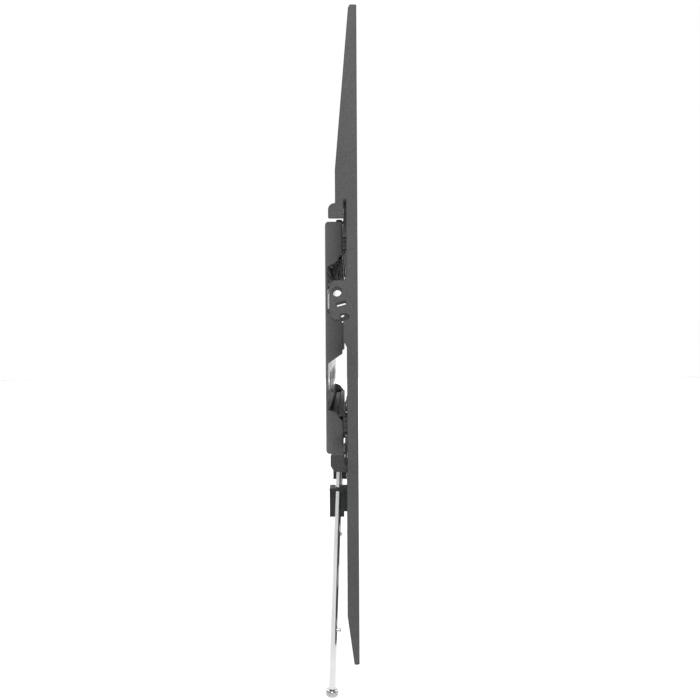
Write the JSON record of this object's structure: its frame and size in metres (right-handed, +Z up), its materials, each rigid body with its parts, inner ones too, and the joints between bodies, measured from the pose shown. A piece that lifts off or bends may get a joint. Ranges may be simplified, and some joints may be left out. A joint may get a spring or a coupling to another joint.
{
  "type": "full motion tv wall mount",
  "caption": "Slim wall mount for a television: windowed wall plate, folding two-tier arms, swivel plate, tilting crossbars and hook-on rails with release rods.",
  "frame": {"origin": "centre of the wall plate's back face", "axes": "+X along the wall, +Y into the wall (the television is toward -Y), +Z up"},
  "size_m": [0.646, 0.0346, 0.6935],
  "materials": {
    "charcoal_powder_coat": "fine textured powder coat",
    "black_zinc_steel": "black zinc, semi-matte",
    "black_plastic": "moulded, fine matte",
    "latch_steel": "textured powder coat",
    "bright_zinc": "bright zinc plate, lightly drawn"
  },
  "bodies": {
    "wall_frame": {"wall_plate": "charcoal_powder_coat", "wall_bracket_upper": "charcoal_powder_coat", "wall_bracket_lower": "charcoal_powder_coat", "bracket_rivets": "black_zinc_steel", "wall_pins": "black_zinc_steel", "wall_pin_clips": "black_zinc_steel"},
    "inner_arms": {"inner_arm_upper": "charcoal_powder_coat", "inner_arm_lower": "charcoal_powder_coat", "elbow_pins": "black_zinc_steel", "elbow_pin_clips": "black_zinc_steel", "elbow_washers": "black_plastic"},
    "outer_arms": {"outer_arm_upper": "charcoal_powder_coat", "outer_arm_lower": "charcoal_powder_coat", "arm_end_bolts": "black_zinc_steel", "arm_end_nuts": "black_zinc_steel", "hinge_leaf_upper": "charcoal_powder_coat", "hinge_leaf_lower": "charcoal_powder_coat", "leaf_rivets": "black_zinc_steel", "front_pin_upper": "black_zinc_steel", "front_pin_lower": "black_zinc_steel"},
    "swivel_frame": {"swivel_plate": "charcoal_powder_coat", "swivel_lug_upper": "charcoal_powder_coat", "swivel_lug_lower": "charcoal_powder_coat", "tilt_bracket_left": "charcoal_powder_coat", "tilt_bracket_right": "charcoal_powder_coat"},
    "tilt_frame": {"crossbar_upper": "charcoal_powder_coat", "crossbar_lower": "charcoal_powder_coat", "crossbar_end_caps": "black_plastic", "foot_rivets": "black_zinc_steel", "tilt_arm_left": "charcoal_powder_coat", "tilt_arm_right": "charcoal_powder_coat", "tilt_bolts": "black_zinc_steel", "tilt_nuts": "black_zinc_steel", "tilt_washers": "black_zinc_steel"},
    "left_rail": {"rail_left": "charcoal_powder_coat", "rod_guide_left": "black_plastic", "guide_screws_left": "black_zinc_steel"},
    "right_rail": {"rail_right": "charcoal_powder_coat", "rod_guide_right": "black_plastic", "guide_screws_right": "black_zinc_steel"},
    "left_release": {"release_rod_left": "bright_zinc", "rod_end_left": "bright_zinc", "rod_collar_left": "black_plastic", "latch_left": "latch_steel"},
    "right_release": {"release_rod_right": "bright_zinc", "rod_end_right": "bright_zinc", "rod_collar_right": "black_plastic", "latch_right": "latch_steel"},
    "left_button": {"snap_button_left": "bright_zinc"},
    "right_button": {"snap_button_right": "bright_zinc"}
  },
  "joints": [
    {"name": "extend", "type": "hinge", "parent": "wall_frame", "child": "inner_arms", "pos_m": [-0.228, -0.00825, 0], "axis": [0, 0, -1], "range_deg": [0, 45]},
    {"name": "elbow", "type": "hinge", "parent": "inner_arms", "child": "outer_arms", "pos_m": [0.233, -0.012, 0], "axis": [0, 0, -1], "range_deg": [-90, 0]},
    {"name": "swivel", "type": "hinge", "parent": "outer_arms", "child": "swivel_frame", "pos_m": [-0.256, -0.0221, 0], "axis": [0, 0, -1], "range_deg": [0, 60]},
    {"name": "tilt", "type": "hinge", "parent": "swivel_frame", "child": "tilt_frame", "pos_m": [0, -0.0297, -0.118], "axis": [1, 0, 0], "range_deg": [0, 8]},
    {"name": "rail_left_shift", "type": "slide", "parent": "tilt_frame", "child": "left_rail", "axis": [1, 0, 0], "range_m": [0, 0.01]},
    {"name": "rail_right_shift", "type": "slide", "parent": "tilt_frame", "child": "right_rail", "axis": [-1, 0, 0], "range_m": [0, 0.015]},
    {"name": "release_left", "type": "slide", "parent": "left_rail", "child": "left_release", "axis": [0, 0.0366, -0.9993], "range_m": [0, 0.008], "stiffness_N_per_m": 1200, "springref_m": -0.006},
    {"name": "release_right", "type": "slide", "parent": "right_rail", "child": "right_release", "axis": [0, 0.0366, -0.9993], "range_m": [0, 0.008], "stiffness_N_per_m": 1200, "springref_m": -0.006},
    {"name": "button_left", "type": "slide", "parent": "left_release", "child": "left_button", "axis": [0, 0.9993, 0.0366], "range_m": [0, 0.0025], "stiffness_N_per_m": 500, "springref_m": -0.002},
    {"name": "button_right", "type": "slide", "parent": "right_release", "child": "right_button", "axis": [0, 0.9993, 0.0366], "range_m": [0, 0.0025], "stiffness_N_per_m": 500, "springref_m": -0.002}
  ],
  "couplings": [
    {"joint": "elbow", "follows": "extend", "ratio": -2}
  ]
}
